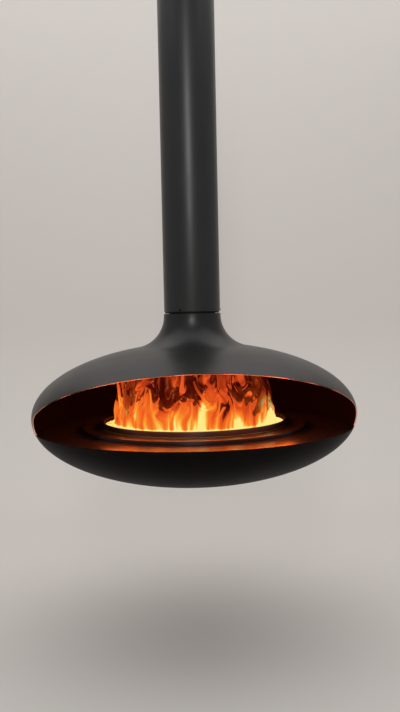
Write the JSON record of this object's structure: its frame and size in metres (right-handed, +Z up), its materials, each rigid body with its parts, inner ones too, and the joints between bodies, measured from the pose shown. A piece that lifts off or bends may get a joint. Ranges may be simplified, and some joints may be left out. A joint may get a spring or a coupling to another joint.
{
  "type": "hanging fireplace",
  "caption": "Oblate black steel fireplace with a slanting mouth, hung from the ceiling by its flue pipe and turning on a ball bearing in its neck.",
  "frame": {"origin": "on the flue's axis in the plane of the ceiling, which is the top face of the ceiling plate", "axes": "+Z up along the flue, -Y out of the hearth's mouth, +X to the right of someone who faces the mouth"},
  "size_m": [1.25, 1.2403, 2.0008],
  "materials": {
    "pipe_paint": "matt heat-proof black paint",
    "hood_paint": "matt heat-proof black paint",
    "bowl_paint": "matt heat-proof black paint",
    "deck_paint": "satin heat-proof black paint",
    "tray_paint": "satin heat-proof black paint",
    "damper_paint": "matt heat-proof black paint, sooty",
    "plain_steel": "zinc-plated",
    "stainless_steel": "fine brushed",
    "cast_iron": "fire-darkened",
    "fire_brick": "matt, sooted",
    "bronze": "plain turned",
    "fibre_rope": "woven"
  },
  "bodies": {
    "pipe": {"carrying_tube": "pipe_paint", "ceiling_plate": "plain_steel", "tube_flange": "plain_steel", "flange_bolt_1": "plain_steel", "flange_bolt_2": "plain_steel", "flange_bolt_3": "plain_steel", "flange_bolt_4": "plain_steel", "rosette": "pipe_paint", "rosette_collar": "pipe_paint", "rosette_screw": "plain_steel", "smoke_liner": "stainless_steel", "liner_spacer_upper": "plain_steel", "liner_spacer_lower": "plain_steel", "pipe_screw_1": "stainless_steel", "pipe_screw_2": "stainless_steel", "pipe_screw_3": "stainless_steel", "swivel_hub": "plain_steel", "bearing_nut": "plain_steel", "lower_race": "plain_steel"},
    "bearing": {"ball_cage": "bronze", "bearing_ball_01": "stainless_steel", "bearing_ball_02": "stainless_steel", "bearing_ball_03": "stainless_steel", "bearing_ball_04": "stainless_steel", "bearing_ball_05": "stainless_steel", "bearing_ball_06": "stainless_steel", "bearing_ball_07": "stainless_steel", "bearing_ball_08": "stainless_steel"},
    "hearth": {"hood": "hood_paint", "bowl": "bowl_paint", "neck_ring": "plain_steel", "upper_race": "plain_steel", "smoke_seal": "fibre_rope", "smoke_collar": "damper_paint", "damper_bush_front": "bronze", "damper_bush_rear": "bronze", "hearth_deck": "deck_paint", "deck_bracket_1": "plain_steel", "deck_bracket_2": "plain_steel", "deck_bracket_3": "plain_steel", "deck_bracket_4": "plain_steel", "fire_tray": "tray_paint", "fire_ring": "tray_paint", "fire_brick_1": "fire_brick", "fire_brick_2": "fire_brick", "fire_brick_3": "fire_brick", "fire_brick_4": "fire_brick"},
    "damper": {"damper_shaft": "stainless_steel", "damper_disc": "cast_iron", "disc_screw_front": "stainless_steel", "disc_screw_rear": "stainless_steel", "shaft_clip_front": "plain_steel", "shaft_clip_rear": "plain_steel", "damper_lever": "damper_paint", "lever_screw": "stainless_steel", "damper_knob": "damper_paint"},
    "ash_pan": {"ash_pan": "plain_steel", "ash_pan_floor": "plain_steel"},
    "grate": {"grate": "cast_iron"}
  },
  "joints": [
    {"name": "hearth_swivel", "type": "hinge", "parent": "pipe", "child": "hearth", "pos_m": [0, 0, -1.3915], "axis": [0, 0, 1], "continuous": true},
    {"name": "cage_orbit", "type": "hinge", "parent": "pipe", "child": "bearing", "pos_m": [0, 0, -1.3915], "axis": [0, 0, 1], "continuous": true},
    {"name": "damper_turn", "type": "hinge", "parent": "hearth", "child": "damper", "pos_m": [0, 0, -1.4794], "axis": [0, 1, 0], "range_deg": [0, 85]},
    {"name": "pan_lift", "type": "slide", "parent": "hearth", "child": "ash_pan", "axis": [0, 0, 1], "range_m": [0, 0.14]},
    {"name": "grate_lift", "type": "slide", "parent": "ash_pan", "child": "grate", "axis": [0, 0, 1], "range_m": [0, 0.1]}
  ],
  "couplings": [
    {"joint": "cage_orbit", "follows": "hearth_swivel", "ratio": 0.5}
  ]
}
